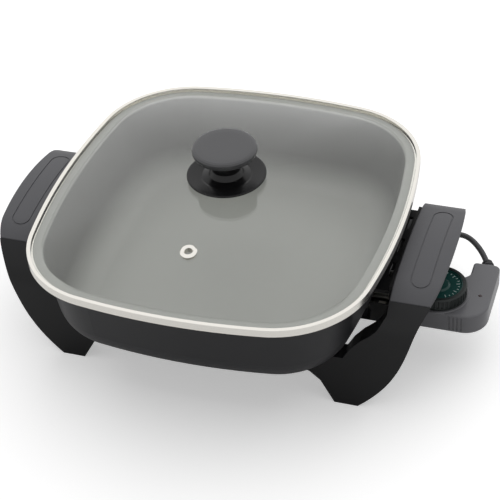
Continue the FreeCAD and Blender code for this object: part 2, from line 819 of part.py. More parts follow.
def probe_plan(grow):
    """Plan of the control: narrow nose, wide middle under the dial, arm to the rear."""
    front, rear = PROBE_Y - 24.0, PROBE_Y + 24.0
    return [
        (NOSE_X - grow, PROBE_Y - NOSE_HALF_Y - grow, 2),
        (158, PROBE_Y - NOSE_HALF_Y - grow, 6),
        (165, front - grow, 8),
        (RIGHT_END + grow, front - grow, 20),
        (RIGHT_END + grow, REAR_ARM_Y + grow, 5 if grow == 0 else 3),
        (203 - grow, REAR_ARM_Y + grow, 3),
        (203 - grow, 27, 6),
        (196, rear + grow, 5),
        (165, rear + grow, 8),
        (158, PROBE_Y + NOSE_HALF_Y + grow, 6),
        (NOSE_X - grow, PROBE_Y + NOSE_HALF_Y + grow, 2),
    ]


def edges_at(shape, z):
    return [edge for edge in shape.Edges
            if abs(edge.BoundBox.ZMin - z) < 1e-4 and abs(edge.BoundBox.ZMax - z) < 1e-4]


def stem_and_sleeve_holes(body):
    for sy in (-1, 1):
        y = PROBE_Y + sy * PIN_SPREAD
        body = body.cut(rod(SLEEVE_R + 0.05, (NOSE_X - 2, y, ELEMENT_Z), (NOSE_X + 4, y, ELEMENT_Z)))
    return body.cut(rod(STEM_R + 0.05, (NOSE_X - 2, PROBE_Y, ELEMENT_Z), (NOSE_X + 4, PROBE_Y, ELEMENT_Z)))


def relief_neck():
    return rod(NECK_R + 0.05, (RELIEF_X, REAR_ARM_Y - 6, RELIEF_Z), (RELIEF_X, REAR_ARM_Y + 2, RELIEF_Z))


def probe_upper():
    body = rounded_prism(probe_plan(0), PROBE_SEAM, PROBE_TOP)
    body = body.makeFillet(2.0, edges_at(body, PROBE_TOP))
    body = body.cut(rounded_prism(probe_plan(-SHELL_T), PROBE_SEAM - 1, PROBE_TOP - SHELL_T))
    collar = turned([(21.5, PROBE_TOP - 1), (25.0, PROBE_TOP - 1), (25.0, PROBE_TOP + 0.4), (24.4, PROBE_TOP + 0.9),
                     (21.5, PROBE_TOP + 0.9)], (DIAL_X, PROBE_Y))
    body = body.fuse(collar)
    for x, y in PROBE_SCREWS:
        body = body.fuse(rod(PROBE_BOSS_R, (x, y, PROBE_LOW + 5.0), (x, y, PROBE_TOP - 1.0)))
        body = body.cut(rod(SMALL_SCREW[2], (x, y, PROBE_LOW), (x, y, PROBE_TOP - 2.5)))
    body = body.cut(rod(DIAL_SHAFT_R + DIAL_FIT, (DIAL_X, PROBE_Y, PROBE_SEAM), (DIAL_X, PROBE_Y, PROBE_TOP + 2)))
    body = body.cut(rod(LENS_R, LENS_AT + (PROBE_TOP - 5,), LENS_AT + (PROBE_TOP + 1,)))
    return grip_grooves(body.cut(relief_neck()).removeSplitter())


def grip_grooves(body):
    for index in range(4):
        x = 196.0 + 3.4 * index
        body = body.cut(box(x, x + 1.2, PROBE_Y - 25, PROBE_Y - 23.3, PROBE_LOW + 3.5, PROBE_TOP - 2.5))
    return body


def probe_lower():
    body = rounded_prism(probe_plan(0), PROBE_LOW, PROBE_SEAM)
    body = body.makeFillet(3.0, edges_at(body, PROBE_LOW))
    body = body.cut(rounded_prism(probe_plan(-SHELL_T), PROBE_LOW + SHELL_T, PROBE_SEAM + 1))
    for x, y in PROBE_SCREWS:
        body = body.fuse(rod(PROBE_BOSS_R + 1.6, (x, y, PROBE_LOW + 1.0), (x, y, PROBE_LOW + 5.0)))
        body = body.cut(rod(SMALL_SCREW[0] + 0.3, (x, y, PROBE_LOW - 1), (x, y, PROBE_LOW + 2.6)))
        body = body.cut(rod(SMALL_SCREW[2] + 0.1, (x, y, PROBE_LOW), (x, y, PROBE_LOW + 6)))
    return grip_grooves(stem_and_sleeve_holes(body).cut(relief_neck()).removeSplitter())


def dial_ring():
    z = DIAL_TOP
    low = PROBE_TOP + 1.1
    body = turned([
        (19.5, low + 0.6),
        (21.2, low),
        (DIAL_R, low),
        (DIAL_R, low + 0.7),
        (DIAL_R - 0.7, low + 1.0),
        (DIAL_R, low + 1.3),
        (DIAL_R, z - 1.2),
        (DIAL_R - 0.9, z),
        (19.5, z),
    ], (DIAL_X, PROBE_Y))
    notches = []
    for index in range(DIAL_NOTCHES):
        angle = 2 * math.pi * index / DIAL_NOTCHES
        x = DIAL_X + (DIAL_R + 0.5) * math.cos(angle)
        y = PROBE_Y + (DIAL_R + 0.5) * math.sin(angle)
        notches.append(rod(1.1, (x, y, low + 2.2), (x, y, z - 1.6)))
    return body.cut(notches)


def dial_disc():
    low = PROBE_TOP + 1.5
    dish = turned([
        (0, low),
        (19.4, low),
        (19.4, DIAL_TOP - 0.6),
        (18.6, DIAL_TOP - 0.6),
        (17.8, DIAL_TOP - 1.6),
        (9.0, DIAL_TOP - 2.0),
        (7.4, DIAL_TOP - 0.9),
        (3.0, DIAL_TOP - 0.5),
        (0, DIAL_TOP - 0.5),
    ], (DIAL_X, PROBE_Y))
    return dish.cut(rod(DIAL_SHAFT_R, (DIAL_X, PROBE_Y, low - 1), (DIAL_X, PROBE_Y, low + 3)))


def dial_shaft():
    return rod(DIAL_SHAFT_R, (DIAL_X, PROBE_Y, PROBE_SEAM + 1.0), (DIAL_X, PROBE_Y, PROBE_TOP + 4.5))


def indicator_lens():
    low = PROBE_TOP - 3.2
    high = PROBE_TOP + 0.4
    return turned([(0, low), (LENS_R, low), (LENS_R, PROBE_TOP), (0.9, high), (0, high)], LENS_AT)


def thermostat():
    """Frame, contact arms and adjusting post of the control, sealed in its shells."""
    low = PROBE_LOW + SHELL_T
    frame = box(DIAL_X - 13, DIAL_X + 16, PROBE_Y - 17, PROBE_Y + 13, low, low + 2.0)
    post = rod(4.0, (DIAL_X, PROBE_Y, low + 1.5), (DIAL_X, PROBE_Y, PROBE_SEAM + 0.9))
    left, right = DIAL_X - 11, DIAL_X + 14
    arm = box(left, right, PROBE_Y - 16, PROBE_Y - 10, low + 1.5, low + 7.0)
    other = box(left, right, PROBE_Y + 6, PROBE_Y + 12, low + 1.5, low + 7.0)
    return join([frame, post, arm, other])


def strain_relief():
    """A grommet held in the arm's rear wall, and a ringed sleeve that leans towards the pan."""
    grommet = turned([
        (0, -SHELL_T - 2.2),
        (5.0, -SHELL_T - 2.2),
        (5.0, -SHELL_T - 0.1),
        (NECK_R, -SHELL_T - 0.1),
        (NECK_R, 0.1),
        (5.6, 0.1),
        (5.6, 3.4),
        (0, 3.4),
    ])
    upright = Vector(0, 0, 1)
    grommet.Placement = FreeCAD.Placement(
        Vector(RELIEF_X, REAR_ARM_Y, RELIEF_Z), FreeCAD.Rotation(upright, Vector(0, 1, 0)))
    sleeve = turned([
        (0, 0),
        (4.4, 0),
        (4.4, 3.6),
        (5.2, 4.0),
        (5.2, 5.6),
        (4.2, 6.0),
        (4.2, 7.2),
        (4.8, 7.6),
        (4.8, 9.0),
        (3.4, RELIEF_LEN),
        (0, RELIEF_LEN),
    ])
    lean = Vector(-math.sin(RELIEF_TILT), math.cos(RELIEF_TILT), 0)
    sleeve.Placement = FreeCAD.Placement(
        Vector(RELIEF_X, RELIEF_KNEE_Y, RELIEF_Z), FreeCAD.Rotation(upright, lean))
    bore = rod(CORD_R, (RELIEF_X, REAR_ARM_Y - 6, RELIEF_Z), (RELIEF_X, REAR_ARM_Y, RELIEF_Z))
    return grommet.fuse(sleeve).cut(bore).removeSplitter()


def sensor_stem():
    body = rod(STEM_R, (STEM_TIP_X + 2.0, PROBE_Y, ELEMENT_Z), (SLEEVE_END_X, PROBE_Y, ELEMENT_Z))
    tip = Part.makeCone(STEM_R * 0.55, STEM_R, 2.0, Vector(STEM_TIP_X, PROBE_Y, ELEMENT_Z), Vector(1, 0, 0))
    return body.fuse(tip).removeSplitter()


# Cord, coil, tie and plug


def free_path(route):
    """Straight runs joined by tangent arcs, each as large as its two runs allow."""
    points = [vec(point) for point in route]
    edges = []
    radii = []
    before = points[0]
    for index in range(1, len(points) - 1):
        point = points[index]
        back = points[index - 1] - point
        ahead = points[index + 1] - point
        shorter = min(back.Length, ahead.Length)
        back.normalize()
        ahead.normalize()
        half_turn = (math.pi - back.getAngle(ahead)) / 2
        reach = 0.45 * shorter
        radius = reach / math.tan(half_turn)
        radii.append(radius)
        middle = (back + ahead).normalize()
        crown = point + middle * (radius / math.cos(half_turn) - radius)
        start = point + back * reach
        stop = point + ahead * reach
        edges.append(Part.LineSegment(before, start).toShape())
        edges.append(Part.Arc(start, crown, stop).toShape())
        before = stop
    edges.append(Part.LineSegment(before, points[-1]).toShape())
    return Part.Wire(edges), radii


def round_tube(path, start, direction):
    circle = Part.makeCircle(CORD_R, start, direction)
    return sweep(Part.Wire([circle]), path)


def coil_place(turned_by):
    """Centre of the coil's wire after some turns: a steady spiral in, then out one layer up."""
    middle = COIL_TURNS / 2
    beyond = turned_by - middle
    blend = 0.25
    if abs(beyond) < blend:
        away = beyond**2 / (2 * blend) + blend / 2
        share = (beyond + blend) / (2 * blend)
        lift = COIL_PITCH * share**2 * (3 - 2 * share)
    else:
        away = abs(beyond)
        lift = 0.0 if beyond < 0 else COIL_PITCH
    radius = COIL_R_OUT - COIL_PITCH * (middle - away)
    angle = -math.pi / 2 - 2 * math.pi * turned_by
    return Vector(COIL_X + radius * math.cos(angle), COIL_Y + radius * math.sin(angle), COIL_Z + lift)


def coil_heading(turned_by):
    step = 1e-4
    if turned_by <= 0 or turned_by >= COIL_TURNS:
        return Vector(-1, 0, 0)
    return (coil_place(turned_by + step) - coil_place(turned_by - step)).normalize()


def arc_from(start, heading, stop):
    """The arc that leaves start along heading and ends at stop."""
    chord = stop - start
    span = chord.Length
    chord.normalize()
    side = heading - chord * heading.dot(chord)
    swing = heading.getAngle(chord)
    side.normalize()
    middle = (start + stop) * 0.5 + side * (span / 2 * math.tan(swing / 2))
    return Part.Arc(start, middle, stop).toShape()


def biarc(start, heading, stop, ending):
    across = stop - start
    both = heading + ending
    square = 2 * (1 - heading.dot(ending))
    lead = across.dot(both)
    reach = (-lead + math.sqrt(lead * lead + square * across.dot(across))) / square
    joint = (start + stop + (heading - ending) * reach) * 0.5
    first = arc_from(start, heading, joint)
    second = arc_from(stop, ending * -1, joint)
    return [first, second]


def coil_path():
    quarters = round(COIL_TURNS * 4)
    start = Vector(COIL_LEAD_X, COIL_START_Y, COIL_Z)
    edges = [Part.LineSegment(start, coil_place(0)).toShape()]
    for index in range(quarters):
        one, two = index / 4, (index + 1) / 4
        edges += biarc(coil_place(one), coil_heading(one), coil_place(two), coil_heading(two))
    last = coil_place(COIL_TURNS)
    edges.append(Part.LineSegment(last, Vector(PLUG_CORD_X, last.y, last.z)).toShape())
    return Part.Wire(edges), start


def coil_self_gap():
    """Least gap between turns, measured on points along the wire."""
    steps = 400
    points = [coil_place(COIL_TURNS * index / steps) for index in range(steps + 1)]
    apart = steps / COIL_TURNS * 0.4
    least = BIG
    for index, one in enumerate(points):
        for other in points[index + int(apart):]:
            least = min(least, (one - other).Length)
    return least - 2 * CORD_R


def cord_tie():
    inner_low = COIL_R_OUT - COIL_PITCH * 1.5 - CORD_R - 2 * TIE_GAP
    inner_high = COIL_R_OUT - COIL_PITCH * 0.5 + CORD_R + 2 * TIE_GAP
    z_high = COIL_Z + COIL_PITCH + CORD_R + TIE_GAP
    x0, x1 = COIL_X - TIE_W / 2, COIL_X + TIE_W / 2
    outside = box(x0, x1, COIL_Y + inner_low - TIE_T, COIL_Y + inner_high + TIE_T, 0, z_high + TIE_T)
    inside = box(x0 - 1, x1 + 1, COIL_Y + inner_low, COIL_Y + inner_high, TIE_T, z_high)
    return outside.cut(inside)


def plug_body():
    z = COIL_Z + COIL_PITCH
    x = PLUG_X
    corners = [
        (x, COIL_START_Y - 6, 3),
        (x - 10, COIL_START_Y - PLUG_HALF_W, 6),
        (x - PLUG_LEN, COIL_START_Y - PLUG_HALF_W, 2),
        (x - PLUG_LEN, COIL_START_Y + PLUG_HALF_W, 2),
        (x - 10, COIL_START_Y + PLUG_HALF_W, 6),
        (x, COIL_START_Y + 6, 3),
    ]
    body = rounded_prism(corners, 0.0, 2 * z)
    body = body.makeFillet(3.0, edges_at(body, 0.0) + edges_at(body, 2 * z))
    return body.fuse(rod(4.6, (x - 1, COIL_START_Y, z), (PLUG_CORD_X, COIL_START_Y, z))).removeSplitter()


def plug_blade(side):
    z = COIL_Z + COIL_PITCH
    y = COIL_START_Y + side * BLADE_GAP / 2
    x = PLUG_X - PLUG_LEN
    blade = box(x - BLADE_LEN, x, y - 0.75, y + 0.75, z - 3.2, z + 3.2)
    return blade.cut(rod(1.6, (x - BLADE_LEN + 4.5, y - 2, z), (x - BLADE_LEN + 4.5, y + 2, z)))


# All nodes


def build():
    nodes = {}
    element = heating_element()
    envelope = pan_envelope()
    nodes["pan"] = pan(element)
    nodes["heating_element"] = element
    for name, sy in (("front", -1), ("rear", 1)):
        y = PROBE_Y + sy * PIN_SPREAD
        nodes["terminal_bushing_" + name] = tube(
            BUSHING_R, PIN_R, (TERMINAL_X, y, ELEMENT_Z), (TERMINAL_X + BUSHING_LEN, y, ELEMENT_Z))
        pin = rod(PIN_R, (TERMINAL_X, y, ELEMENT_Z), (PIN_END_X - 1.5, y, ELEMENT_Z))
        tip = Part.makeCone(PIN_R, PIN_R * 0.5, 1.5, Vector(PIN_END_X - 1.5, y, ELEMENT_Z), Vector(1, 0, 0))
        nodes["terminal_pin_" + name] = pin.fuse(tip).removeSplitter()
        nodes["contact_sleeve_" + name] = tube(
            SLEEVE_R, PIN_R + PIN_FIT, (NOSE_X - 0.5, y, ELEMENT_Z), (SLEEVE_END_X, y, ELEMENT_Z))
        spot = PROBE_Y + sy * GUARD_BOLT_Y
        nodes["guard_screw_" + name] = screw(SMALL_SCREW, GUARD_BOLT_LEN + GUARD_T,
                                             (GUARD_BOLT_X, spot, BLOCK_BOTTOM - GUARD_T), (0, 0, 1))
    nodes["probe_guard"] = probe_guard()

    frame = side_frame()
    grip_top = grip()
    cover = grip_cover()
    bracket = wall_bracket(envelope)
    right = {"side_frame": frame, "grip": grip_top, "grip_cover": cover, "wall_bracket": bracket}
    for name, sy in (("front", -1), ("rear", 1)):
        right["leg_screw_" + name] = screw(
            LEG_SCREW, LEG_SCREW_LEN, (LEG_BOSS_X, sy * LEG_BOSS_Y, ARM_TOP - FRAME_SIDE), (0, 0, 1))
        right["bracket_screw_" + name] = screw(
            SIDE_SCREW, FRAME_SIDE + BRACKET_T, (GRIP_INNER_X - BRACKET_T, sy * BRACKET_SCREW_Y, BRACKET_SCREW_Z),
            (1, 0, 0))
        right["grip_screw_" + name] = screw(
            SMALL_SCREW, GRIP_SCREW_LEN, (GRIP_SCREW_X, sy * GRIP_SCREW_Y, GRIP_SCREW_SEAT), (0, 0, 1))
    for name, shape in right.items():
        nodes["right_" + name] = shape
        nodes["left_" + name] = mirror_x(shape)

    glass = lid_glass()
    nodes["lid_glass"] = glass
    nodes["lid_rim"] = lid_rim()
    nodes["knob_washer"] = knob_washer()
    nodes["knob_seal"] = knob_seal()
    nodes["knob_base"] = knob_base()
    nodes["knob_cap"] = knob_cap()
    nodes["knob_screw"] = knob_screw()
    nodes["vent_eyelet"] = vent_eyelet(glass)

    nodes["probe_upper"] = probe_upper()
    nodes["probe_lower"] = probe_lower()
    nodes["sensor_stem"] = sensor_stem()
    nodes["thermostat"] = thermostat()
    nodes["dial_ring"] = dial_ring()
    nodes["dial_disc"] = dial_disc()
    nodes["dial_shaft"] = dial_shaft()
    nodes["indicator_lens"] = indicator_lens()
    for index, (sx, sy) in enumerate(PROBE_SCREWS):
        nodes["probe_screw_%d" % (index + 1)] = screw(SMALL_SCREW, PROBE_SCREW_LEN, (sx, sy, PROBE_LOW + 2.6), (0, 0, 1))
    nodes["strain_relief"] = strain_relief()

    path, radii = free_path(CORD_ROUTE)
    leaving = Vector(-math.sin(RELIEF_TILT), math.cos(RELIEF_TILT), 0)
    nodes["cord"] = round_tube(path, vec(CORD_ROUTE[0]), leaving)
    coil, start = coil_path()
    nodes["cord_coil"] = round_tube(coil, start, Vector(-1, 0, 0))
    nodes["cord_tie"] = cord_tie()
    nodes["plug_body"] = plug_body()
    nodes["plug_blade_1"] = plug_blade(-1)
    nodes["plug_blade_2"] = plug_blade(1)
    print("cord bend radii", [round(radius, 1) for radius in radii], "least allowed", 5 * 2 * CORD_R)
    area = math.pi * CORD_R**2
    for name, wire in (("cord", path), ("cord_coil", coil)):
        print(name, "length", round(wire.Length, 1), "volume", round(nodes[name].Volume, 1),
              "section x length", round(area * wire.Length, 1))
    print("coil least gap to itself", round(coil_self_gap(), 2))
    return nodes


whole = None
for node, shape in build().items():
    shape = shape.copy()
    shape.translate(Vector(SHIFT_X, 0, 0))
    solids = shape.Solids
    if len(solids) != 1 or not shape.isValid() or shape.Volume <= 0:
        print("CHECK", node, "solids", len(solids), "valid", shape.isValid(), "volume", shape.Volume)
    if len(solids) == 1:
        shape = solids[0]
    shape.exportStep("parts/%s.step" % node)
    if node not in ("cord", "cord_coil", "cord_tie", "plug_body", "plug_blade_1", "plug_blade_2"):
        bounds = shape.optimalBoundingBox()
        whole = bounds if whole is None else whole.united(bounds)
print("object x", round(whole.XMin, 3), round(whole.XMax, 3), "y", round(whole.YMin, 3), round(whole.YMax, 3),
      "z", round(whole.ZMin, 3), round(whole.ZMax, 3))
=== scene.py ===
import json
import math

import bmesh
import bpy
from mathutils import Matrix, Vector


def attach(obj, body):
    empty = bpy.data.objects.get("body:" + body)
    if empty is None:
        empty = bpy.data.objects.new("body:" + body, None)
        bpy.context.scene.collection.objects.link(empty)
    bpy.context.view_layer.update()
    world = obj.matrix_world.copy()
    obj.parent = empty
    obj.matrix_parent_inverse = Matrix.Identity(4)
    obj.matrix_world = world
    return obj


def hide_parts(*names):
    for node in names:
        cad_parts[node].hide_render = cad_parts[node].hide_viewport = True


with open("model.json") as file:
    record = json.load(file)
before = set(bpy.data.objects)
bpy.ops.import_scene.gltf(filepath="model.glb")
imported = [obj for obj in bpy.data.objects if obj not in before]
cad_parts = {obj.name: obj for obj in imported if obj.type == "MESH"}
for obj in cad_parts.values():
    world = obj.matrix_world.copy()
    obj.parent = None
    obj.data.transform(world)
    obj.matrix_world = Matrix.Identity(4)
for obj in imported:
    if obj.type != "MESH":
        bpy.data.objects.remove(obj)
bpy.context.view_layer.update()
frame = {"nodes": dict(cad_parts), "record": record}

# %% [markdown]
# The looks of an electric skillet. The CAD nodes keep their shapes and get materials here. The cord becomes
# one smooth curve, the dial gets its printed marks, and the camera stands where the photograph was taken.

# %% Imports

# %% [markdown]
# Sizes shared with the CAD model, in metres. The pan's centre is left of the origin, because the origin is
# under the middle of the object with its control plugged in. The ends are measured from the pan's centre.

# %% Shared sizes

MM = 0.001
LEFT_END = -194.686 * MM
RIGHT_END = 226.0 * MM
PAN_X = -(LEFT_END + RIGHT_END) / 2
FLANGE_Z = 127.0 * MM
DIAL_X = 183.0 * MM + PAN_X
DIAL_Y = -4.0 * MM
DIAL_TOP = 77.0 * MM
CORD_R = 2.5 * MM
COIL_PITCH = 5.6 * MM
COIL_TURNS = 4
COIL_BLEND = 0.25
COIL_R_OUT = 35.2 * MM
COIL_CENTRE = Vector((30.0 * MM + PAN_X, 222.0 * MM, 3.6 * MM))
PLUG_CORD_X = 4.0 * MM + PAN_X


# %% Colour and node helpers

def srgb(code, alpha=1.0):
    """An sRGB hex code as linear RGBA."""
    values = []
    for start in (0, 2, 4):
        value = int(code[start:start + 2], 16) / 255
        values.append(value / 12.92 if value <= 0.04045 else ((value + 0.055) / 1.055) ** 2.4)
    return (*values, alpha)


def node_material(name):
    material = bpy.data.materials.new(name)
    material.use_nodes = True
    tree = material.node_tree
    shader = tree.nodes["Principled BSDF"]
    return material, tree, shader


def add_grain(tree, shader, scale, strength, distance):
    """A fine surface grain, in object space, for moulded or cast surfaces."""
    place = tree.nodes.new("ShaderNodeTexCoord")
    noise = tree.nodes.new("ShaderNodeTexNoise")
    noise.inputs["Scale"].default_value = scale
    noise.inputs["Detail"].default_value = 2.0
    bump = tree.nodes.new("ShaderNodeBump")
    bump.inputs["Strength"].default_value = strength
    bump.inputs["Distance"].default_value = distance
    tree.links.new(place.outputs["Object"], noise.inputs["Vector"])
    tree.links.new(noise.outputs["Fac"], bump.inputs["Height"])
    tree.links.new(bump.outputs["Normal"], shader.inputs["Normal"])


def plain(name, colour, roughness, metallic=0.0, grain=None, specular=0.5):
    material, tree, shader = node_material(name)
    shader.inputs["Base Color"].default_value = srgb(colour)
    shader.inputs["Roughness"].default_value = roughness
    shader.inputs["Metallic"].default_value = metallic
    shader.inputs["Specular IOR Level"].default_value = specular
    if grain:
        add_grain(tree, shader, *grain)
    return material


# %% [markdown]
# The pan is one casting with two finishes: a grey ceramic coating inside and a dark one outside. Faces that
# look up, or in towards the middle, are inside. The inside coating is one colour; painted shade makes the
# steep walls darker than the floor.

# %% Pan material

INWARD_LIMIT = -0.002
UPWARD_LIMIT = 0.35
OUTSIDE_ROUGHNESS = 0.4
INSIDE_ROUGHNESS = 0.34
PAN_SPECULAR = 0.3
OUTSIDE_COLOUR = srgb("272729")
# Painted shade: a darker copy of the inside coating for steep walls, and a lighter one for the floor.
WALL_SHADE_COLOUR = srgb("6a6a67")
FLOOR_LIT_COLOUR = srgb("a9a9a5")


def pan_material():
    material, tree, shader = node_material("pan_two_finishes")
    nodes, links = tree.nodes, tree.links
    place = nodes.new("ShaderNodeTexCoord")
    centre = nodes.new("ShaderNodeVectorMath")
    centre.operation = "SUBTRACT"
    centre.inputs[1].default_value = (PAN_X, 0.0, 0.0)
    flat = nodes.new("ShaderNodeVectorMath")
    flat.operation = "MULTIPLY"
    flat.inputs[1].default_value = (1.0, 1.0, 0.0)
    facing = nodes.new("ShaderNodeVectorMath")
    facing.operation = "DOT_PRODUCT"
    links.new(place.outputs["Object"], centre.inputs[0])
    links.new(centre.outputs["Vector"], flat.inputs[0])
    links.new(flat.outputs["Vector"], facing.inputs[0])
    links.new(place.outputs["Normal"], facing.inputs[1])
    inward = nodes.new("ShaderNodeMath")
    inward.operation = "LESS_THAN"
    inward.inputs[1].default_value = INWARD_LIMIT
    links.new(facing.outputs["Value"], inward.inputs[0])
    split = nodes.new("ShaderNodeSeparateXYZ")
    links.new(place.outputs["Normal"], split.inputs["Vector"])
    upward = nodes.new("ShaderNodeMath")
    upward.operation = "GREATER_THAN"
    upward.inputs[1].default_value = UPWARD_LIMIT
    links.new(split.outputs["Z"], upward.inputs[0])
    inside = nodes.new("ShaderNodeMath")
    inside.operation = "MAXIMUM"
    links.new(inward.outputs["Value"], inside.inputs[0])
    links.new(upward.outputs["Value"], inside.inputs[1])
    # Painted shade: the inside colour runs from dark on steep walls to light on the floor, by how far each
    # face looks up.
    shade = nodes.new("ShaderNodeMix")
    shade.data_type = "RGBA"
    shade.inputs["A"].default_value = WALL_SHADE_COLOUR
    shade.inputs["B"].default_value = FLOOR_LIT_COLOUR
    links.new(split.outputs["Z"], shade.inputs["Factor"])
    colour = nodes.new("ShaderNodeMix")
    colour.data_type = "RGBA"
    colour.inputs["A"].default_value = OUTSIDE_COLOUR
    links.new(shade.outputs["Result"], colour.inputs["B"])
    links.new(inside.outputs["Value"], colour.inputs["Factor"])
    links.new(colour.outputs["Result"], shader.inputs["Base Color"])
    rough = nodes.new("ShaderNodeMapRange")
    rough.inputs["To Min"].default_value = OUTSIDE_ROUGHNESS
    rough.inputs["To Max"].default_value = INSIDE_ROUGHNESS
    links.new(inside.outputs["Value"], rough.inputs["Value"])
    links.new(rough.outputs["Result"], shader.inputs["Roughness"])
    shader.inputs["Specular IOR Level"].default_value = PAN_SPECULAR
    return material


# %% [markdown]
# Clear glass lets light rays straight through for shadows and bounced light, so that the pan under the lid is
# lit as it is under a thin real lid.

# %% Glass material

GLASS_IOR = 1.45
GLASS_TINT = srgb("fdfefd")
SHADOW_TINT = srgb("f8f9f8")


def glass_material():
    material, tree, shader = node_material("clear_lid_glass")
    nodes, links = tree.nodes, tree.links
    shader.inputs["Base Color"].default_value = GLASS_TINT
    shader.inputs["Roughness"].default_value = 0.0
    shader.inputs["IOR"].default_value = GLASS_IOR
    shader.inputs["Transmission Weight"].default_value = 1.0
    clear = nodes.new("ShaderNodeBsdfTransparent")
    clear.inputs["Color"].default_value = SHADOW_TINT
    path = nodes.new("ShaderNodeLightPath")
    either = nodes.new("ShaderNodeMath")
    either.operation = "MAXIMUM"
    links.new(path.outputs["Is Shadow Ray"], either.inputs[0])
    links.new(path.outputs["Is Diffuse Ray"], either.inputs[1])
    mix = nodes.new("ShaderNodeMixShader")
    links.new(either.outputs["Value"], mix.inputs["Fac"])
    links.new(shader.outputs["BSDF"], mix.inputs[1])
    links.new(clear.outputs["BSDF"], mix.inputs[2])
    links.new(mix.outputs["Shader"], nodes["Material Output"].inputs["Surface"])
    return material


# %% [markdown]
# A plain material is given by its name, colour, roughness and metallic share, and its grain by scale,
# strength and depth. The knob's cap shares a slot with its base but is paler and grained.

# %% Other materials

FINE = (900.0, 0.12, 0.0002)
MATERIALS = {
    "pan_coating": pan_material(),
    "element_steel": plain("element_sheath", "8a8883", 0.4, 1.0),
    "guard_steel": plain("plain_sheet", "7d7d7d", 0.35, 1.0),
    "lid_glass": glass_material(),
    "rim_steel": plain("polished_rim", "efece5", 0.2, 1.0),
    "seal_rubber": plain("translucent_seal", "bcb6b9", 0.45),
    "knob_plastic": plain("knob_base_gloss", "131314", 0.22, specular=0.3),
    "screw_steel": plain("plated_screw", "a5a5a5", 0.3, 1.0),
    "probe_plastic": plain("control_charcoal", "68686b", 0.28, grain=FINE, specular=0.4),
    "dial_plastic": plain("dial_black", "222726", 0.35, specular=0.3),
    "dial_green": plain("dial_dark_green", "1c4440", 0.2, specular=0.3),
    "lens_plastic": plain("dark_lens", "2a1214", 0.15),
    "cord_rubber": plain("cord_grey", "3f3f41", 0.5, specular=0.3),
    "tie_plastic": plain("tie_black", "1c1c1d", 0.45, specular=0.3),
    "blade_brass": plain("blade_metal", "cdbf98", 0.25, 1.0),
    "bushing_ceramic": plain("bushing_white", "d8d3c8", 0.6),
    "frame_plastic": plain("frame_black", "1c1c1d", 0.38, grain=FINE, specular=0.25),
    "grip_plastic": plain("grip_charcoal", "535356", 0.42, grain=FINE, specular=0.3),
    "bracket_steel": plain("bracket_black", "0c0c0d", 0.4, specular=0.2),
}

slots = {entry["node"]: entry["material_slot"] for entry in frame["record"]["subparts"]}
for node, piece in frame["nodes"].items():
    piece.data.materials.clear()
    piece.data.materials.append(MATERIALS[slots[node]])
frame["nodes"]["knob_cap"].data.materials[0] = plain("knob_cap_satin", "48484a", 0.25, grain=FINE)
print("nodes with materials", len(slots))

# %% [markdown]
# The dial carries a ring of plain light marks, long ones with short ones between, as thin raised bars on its
# dished face.

# %% Dial marks

MARK_COUNT = 25
MARK_LONG_EVERY = 3
MARK_START = math.radians(-60.0)
MARK_SWEEP = math.radians(300.0)
MARK_OUT_R = 17.0 * MM
MARK_LONG = 3.0 * MM
MARK_SHORT = 1.6 * MM
MARK_HALF_W = 0.35 * MM
MARK_LOW = DIAL_TOP - 1.8 * MM
MARK_HIGH = DIAL_TOP - 1.5 * MM


def bar(mesh, middle, out, half_long, half_wide, low, high):
    """A thin upright-sided bar lying along out."""
    across = Vector((-out.y, out.x, 0.0))
    corners = []
    for z in (low, high):
        for along, side in ((-1, -1), (1, -1), (1, 1), (-1, 1)):
            flat = middle + out * half_long * along + across * half_wide * side
            corners.append(mesh.verts.new((flat.x, flat.y, z)))
    for face in ((3, 2, 1, 0), (4, 5, 6, 7), (0, 1, 5, 4), (1, 2, 6, 5), (2, 3, 7, 6), (3, 0, 4, 7)):
        mesh.faces.new([corners[i] for i in face])


def mesh_piece(name, mesh, material, body):
    data = bpy.data.meshes.new(name)
    mesh.to_mesh(data)
    mesh.free()
    piece = bpy.data.objects.new(name, data)
    bpy.context.collection.objects.link(piece)
    data.materials.append(material)
    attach(piece, body)


marks = bmesh.new()
hub = Vector((DIAL_X, DIAL_Y, 0.0))
for index in range(MARK_COUNT):
    angle = MARK_START + MARK_SWEEP * index / (MARK_COUNT - 1)
    out = Vector((math.cos(angle), math.sin(angle), 0.0))
    long = MARK_LONG if index % MARK_LONG_EVERY == 0 else MARK_SHORT
    bar(marks, hub + out * (MARK_OUT_R - long / 2), out, long / 2, MARK_HALF_W, MARK_LOW, MARK_HIGH)
mesh_piece("dial_marks", marks, plain("mark_print", "9fb0ad", 0.5), "dial")
print("dial marks", MARK_COUNT)

# %% [markdown]
# The cord is one smooth line through the CAD route: out of the collar, down behind the grip, into the coil
# behind the pan and out to the plug.

# %% Cord route

ROUTE_MM = [
    (211.933, 55.635, 56.0),
    (204.611, 72.079, 56.0),
    (184.0, 95.0, 53.5),
    (160.0, 112.0, 30.0),
    (138.0, 130.0, 8.0),
    (110.0, 150.0, 2.5),
    (80.0, 175.0, 2.5),
    (60.0, 186.8, 3.6),
    (44.0, 186.8, 3.6),
]
free_route = [Vector((x * MM + PAN_X, y * MM, z * MM)) for x, y, z in ROUTE_MM]


def coil_point(turn):
    """Centre of the wire after some turns: in on the lower layer, out on the upper one."""
    middle = COIL_TURNS / 2
    beyond = turn - middle
    if abs(beyond) < COIL_BLEND:
        away = beyond ** 2 / (2 * COIL_BLEND) + COIL_BLEND / 2
        share = (beyond + COIL_BLEND) / (2 * COIL_BLEND)
        lift = COIL_PITCH * share ** 2 * (3 - 2 * share)
    else:
        away = abs(beyond)
        lift = 0.0 if beyond < 0 else COIL_PITCH
    radius = COIL_R_OUT - COIL_PITCH * (middle - away)
    angle = -math.pi / 2 - 2 * math.pi * turn
    return COIL_CENTRE + Vector((radius * math.cos(angle), radius * math.sin(angle), lift))


